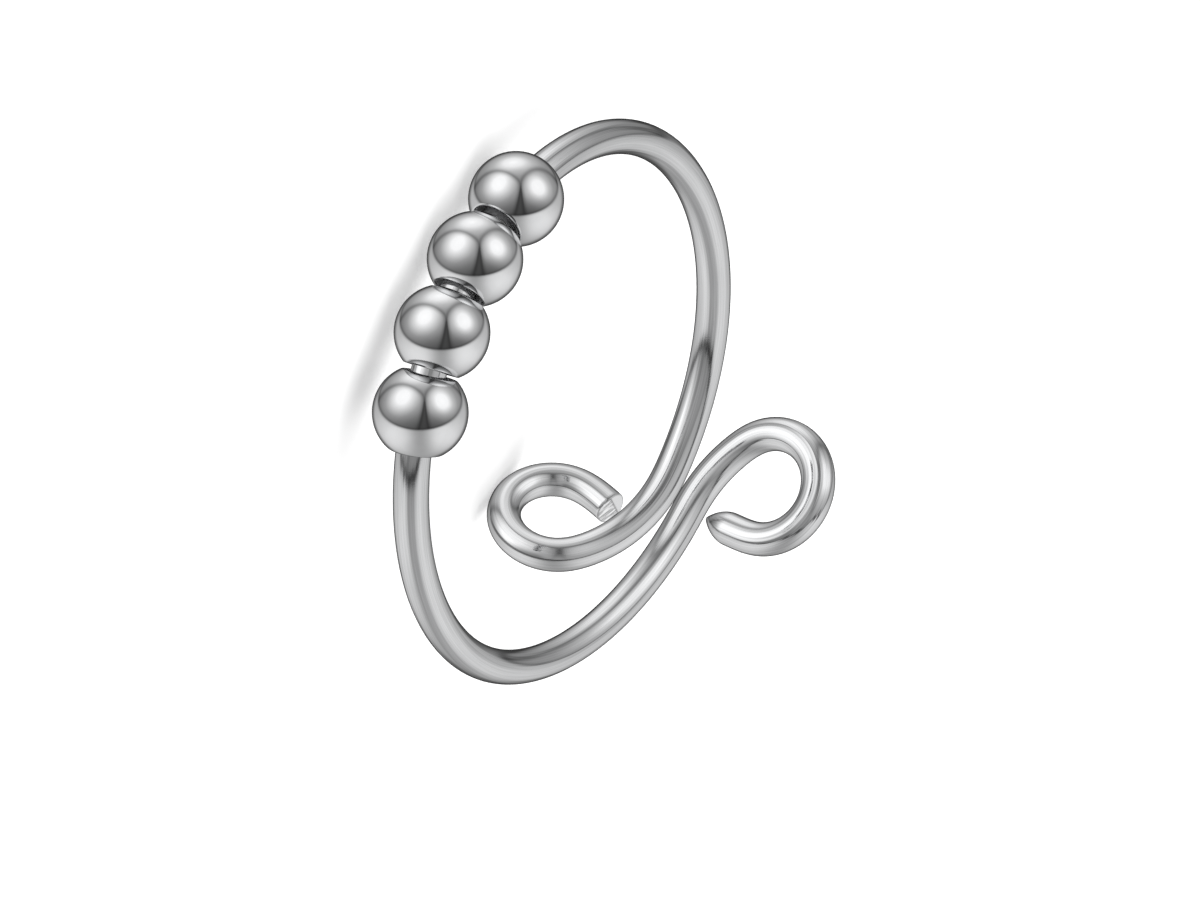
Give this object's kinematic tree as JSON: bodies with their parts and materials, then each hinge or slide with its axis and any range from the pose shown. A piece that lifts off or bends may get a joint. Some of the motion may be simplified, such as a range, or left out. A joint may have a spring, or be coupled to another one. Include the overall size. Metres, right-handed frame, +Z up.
{
  "type": "spinner ring",
  "caption": "Open adjustable finger ring of round wire with curled ends side by side and round beads that slide and spin on the hoop.",
  "frame": {"origin": "middle of the bounding box's bottom face, on the surface the ring lies on", "axes": "+Z up, the ring lying on its side; -Y is the side of the hoop that carries the beads, +Y the side of the two curls"},
  "size_m": [0.0204, 0.0218, 0.012],
  "materials": {
    "wire_steel": "polished steel wire with fine drawing marks",
    "bead_steel": "mirror-polished steel"
  },
  "bodies": {
    "wire": {"wire": "wire_steel"},
    "bead_1": {"bead_1": "bead_steel"},
    "bead_2": {"bead_2": "bead_steel"},
    "bead_3": {"bead_3": "bead_steel"},
    "bead_4": {"bead_4": "bead_steel"}
  },
  "joints": [
    {"name": "bead_1_slide", "type": "hinge", "parent": "wire", "child": "bead_1", "pos_m": [0, 0.00003, 0.004], "axis": [-0.0806, -0.2342, 0.9688], "range_deg": [-100, 65]},
    {"name": "bead_2_slide", "type": "hinge", "parent": "bead_1", "child": "bead_2", "pos_m": [0, 0.00003, 0.004], "axis": [-0.0806, -0.2342, 0.9688], "range_deg": [0, 12]},
    {"name": "bead_3_slide", "type": "hinge", "parent": "bead_2", "child": "bead_3", "pos_m": [0, 0.00003, 0.004], "axis": [-0.0806, -0.2342, 0.9688], "range_deg": [0, 12]},
    {"name": "bead_4_slide", "type": "hinge", "parent": "bead_3", "child": "bead_4", "pos_m": [0, 0.00003, 0.004], "axis": [-0.0806, -0.2342, 0.9688], "range_deg": [0, 12]}
  ]
}
